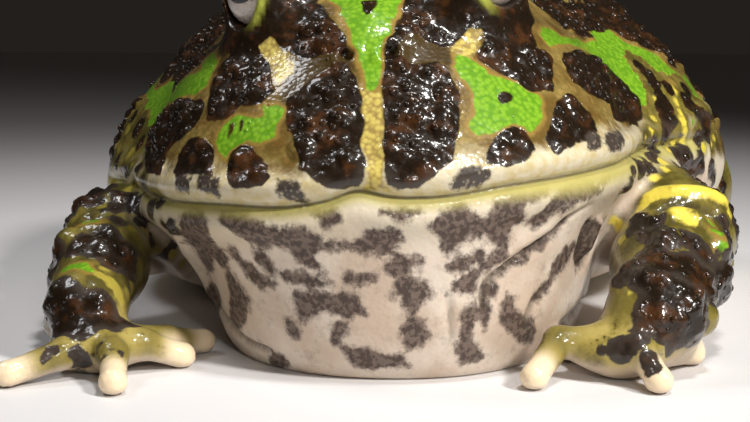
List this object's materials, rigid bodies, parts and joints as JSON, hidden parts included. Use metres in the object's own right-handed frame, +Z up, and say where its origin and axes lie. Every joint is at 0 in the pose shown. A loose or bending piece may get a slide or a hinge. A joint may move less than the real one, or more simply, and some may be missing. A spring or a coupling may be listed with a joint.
{
  "type": "argentine horned frog",
  "caption": "Life-size still model of an Argentine horned frog squatting on a flat surface, with a very wide mouth, horned upper eyelids and folded legs.",
  "frame": {"origin": "on the floor, under the middle of the frog's outline", "axes": "the snout points along -Y, +X is the frog's left, +Z is up"},
  "size_m": [0.0984, 0.1238, 0.054],
  "materials": {
    "back_skin": "wet warty skin, dark brown blotches with tan rims on green",
    "belly_skin": "fine-grained skin, cream pink with purple brown blotches",
    "hand_skin": "smooth moist skin, dull yellow with cream tips",
    "iris": "polished, pink silver with dark bars"
  },
  "bodies": {
    "root": {"head": "back_skin", "lower_jaw": "belly_skin", "torso": "back_skin", "eyelid_horn_right": "back_skin", "eyelid_horn_left": "back_skin", "eye_right": "iris", "eye_left": "iris", "upper_arm_right": "back_skin", "upper_arm_left": "back_skin", "forearm_right": "back_skin", "forearm_left": "back_skin", "hand_right": "hand_skin", "hand_left": "hand_skin", "thigh_right": "back_skin", "thigh_left": "back_skin", "shank_right": "back_skin", "shank_left": "back_skin", "foot_right": "hand_skin", "foot_left": "hand_skin"}
  },
  "joints": []
}
